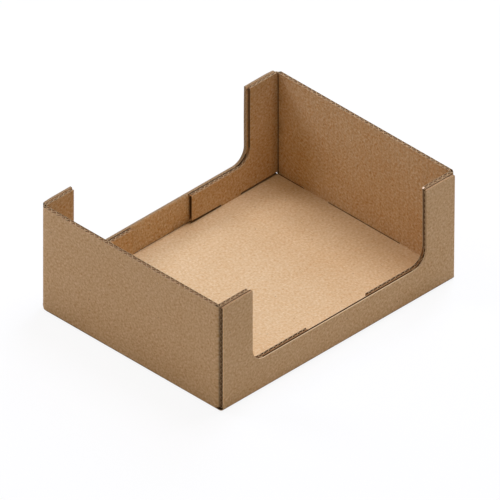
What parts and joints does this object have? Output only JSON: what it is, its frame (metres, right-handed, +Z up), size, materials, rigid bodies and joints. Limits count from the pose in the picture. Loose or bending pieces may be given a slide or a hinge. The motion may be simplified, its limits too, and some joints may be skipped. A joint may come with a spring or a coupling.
{
  "type": "cardboard tray box",
  "caption": "Open tray folded and glued from a die-cut corrugated sheet, with full-height end walls and side walls cut low between corner posts, for packing and display.",
  "frame": {"origin": "middle of the underside of the base, at the centre of the footprint", "axes": "+Z up, Y along the long side walls from one end wall to the other, X across from one side wall to the other"},
  "size_m": [0.3, 0.39, 0.148],
  "materials": {
    "kraft_board": "matt brown kraft paper"
  },
  "bodies": {
    "root": {"tray": "kraft_board"}
  },
  "joints": []
}
